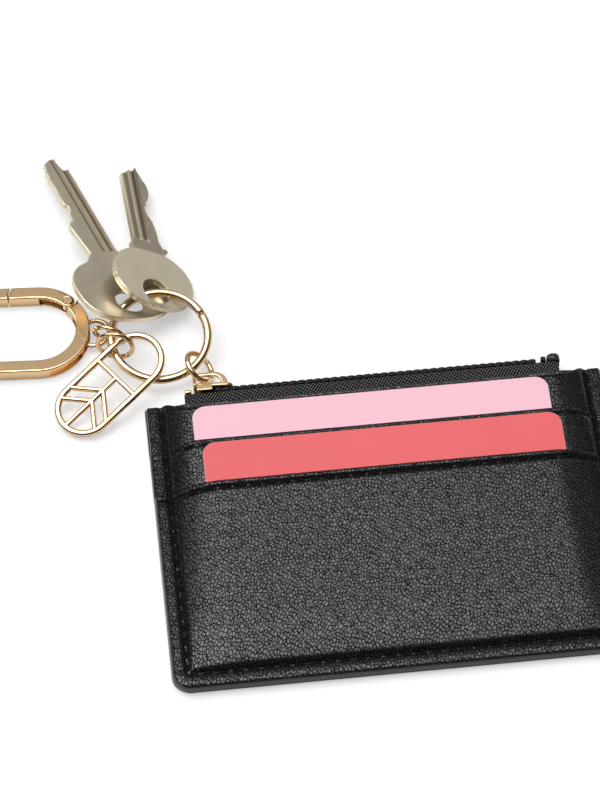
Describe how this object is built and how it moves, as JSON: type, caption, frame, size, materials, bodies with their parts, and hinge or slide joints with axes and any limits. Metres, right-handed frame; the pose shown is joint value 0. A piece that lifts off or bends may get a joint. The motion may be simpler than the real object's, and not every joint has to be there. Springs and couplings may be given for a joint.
{
  "type": "keychain card holder",
  "caption": "Zip card case in black leather with card pockets, whose zip slider carries a key ring with keys, a flat charm and an oval gate clip.",
  "frame": {"origin": "centre of the case's flat back face, which lies on the table", "axes": "X along the zip, Y from the case's foot to the zip edge and on to the keys, Z out of the case's front"},
  "size_m": [0.1717, 0.1551, 0.0138],
  "materials": {
    "leather": "pebbled, dark painted edges",
    "tape": "woven twill tape with a black coil",
    "gold": "polished light rose gold plating",
    "nickel": "warm nickel plating with fine wear",
    "card_pink": "smooth printed card",
    "card_coral": "smooth printed card"
  },
  "bodies": {
    "case": {"back_panel": "leather", "zip_panel": "leather", "upper_pocket": "leather", "front_pocket": "leather", "front_lip": "leather", "zip_tape_front": "tape", "zip_tape_back": "tape", "zip_teeth_front": "tape", "zip_teeth_back": "tape", "top_stop_front": "gold", "top_stop_back": "gold", "bottom_stop": "tape", "zip_end_tab": "leather"},
    "slider": {"slider_body": "gold", "slider_bridge": "gold"},
    "link": {"link_ring": "gold"},
    "ring": {"key_ring": "gold"},
    "front_key": {"key_front": "nickel"},
    "rear_key": {"key_rear": "nickel"},
    "charm_link": {"charm_ring": "gold"},
    "pendant": {"charm": "gold"},
    "connector": {"connector_ring": "gold"},
    "eye": {"eye_ring": "gold"},
    "clip": {"clip_frame": "gold", "clip_pin": "gold", "gate_rivet": "gold"},
    "gate": {"clip_gate": "gold", "gate_spring": "nickel"},
    "upper_card": {"card_upper": "card_pink"},
    "lower_card": {"card_lower": "card_coral"}
  },
  "joints": [
    {"name": "zip_slide", "type": "slide", "parent": "case", "child": "slider", "axis": [-1, 0, 0], "range_m": [-0.072, 0], "deforming": ["zip_teeth_front", "zip_teeth_back"]},
    {"name": "chain_lift", "type": "hinge", "parent": "slider", "child": "link", "pos_m": [-0.0412, 0.0461, 0.00352], "axis": [0, -1, 0], "range_deg": [-90, 0]},
    {"name": "key_ring_swing", "type": "hinge", "parent": "link", "child": "ring", "pos_m": [-0.04335, 0.05114, 0.00554], "axis": [-0.4739, -0.7007, 0.5333], "range_deg": [-10, 0]},
    {"name": "front_key_swing", "type": "hinge", "parent": "ring", "child": "front_key", "pos_m": [-0.05013, 0.06893, 0.00739], "axis": [-1, 0, 0], "range_deg": [-10, 0]},
    {"name": "rear_key_swing", "type": "hinge", "parent": "ring", "child": "rear_key", "pos_m": [-0.0567, 0.06695, 0.00707], "axis": [-0.829, -0.5523, -0.0875], "range_deg": [-15, 0]},
    {"name": "charm_ring_swing", "type": "hinge", "parent": "ring", "child": "charm_link", "pos_m": [-0.06162, 0.05491, 0.00517], "axis": [-0.2079, 0.9661, 0.153], "range_deg": [-8, 0]},
    {"name": "charm_swing", "type": "hinge", "parent": "charm_link", "child": "pendant", "pos_m": [-0.06063, 0.05484, 0.00761], "axis": [0.7769, 0.5872, 0.227], "range_deg": [-15, 0]},
    {"name": "connector_swing", "type": "hinge", "parent": "ring", "child": "connector", "pos_m": [-0.0617, 0.05934, 0.00587], "axis": [-0.1736, -0.9727, -0.1541], "range_deg": [-10, 0]},
    {"name": "eye_ring_swing", "type": "hinge", "parent": "connector", "child": "eye", "pos_m": [-0.06267, 0.06034, 0.00241], "axis": [-0.5338, -0.8406, -0.0923], "range_deg": [-10, 0]},
    {"name": "clip_swivel", "type": "hinge", "parent": "eye", "child": "clip", "pos_m": [-0.06781, 0.0618, 0.0018], "axis": [0, 0, 1], "range_deg": [-15, 0]},
    {"name": "gate_pivot", "type": "hinge", "parent": "clip", "child": "gate", "pos_m": [-0.07153, 0.07174, 0.0018], "axis": [0, 0, -1], "range_deg": [-25, 0], "stiffness_Nm_per_rad": 0.02},
    {"name": "upper_card_slide", "type": "slide", "parent": "case", "child": "upper_card", "axis": [0, 0.998, 0.0638], "range_m": [0, 0.045]},
    {"name": "lower_card_slide", "type": "slide", "parent": "case", "child": "lower_card", "axis": [0, 0.998, 0.0638], "range_m": [0, 0.045]}
  ],
  "couplings": [
    {"joint": "chain_lift", "follows": "zip_slide", "rad_per_m": 21.8}
  ]
}
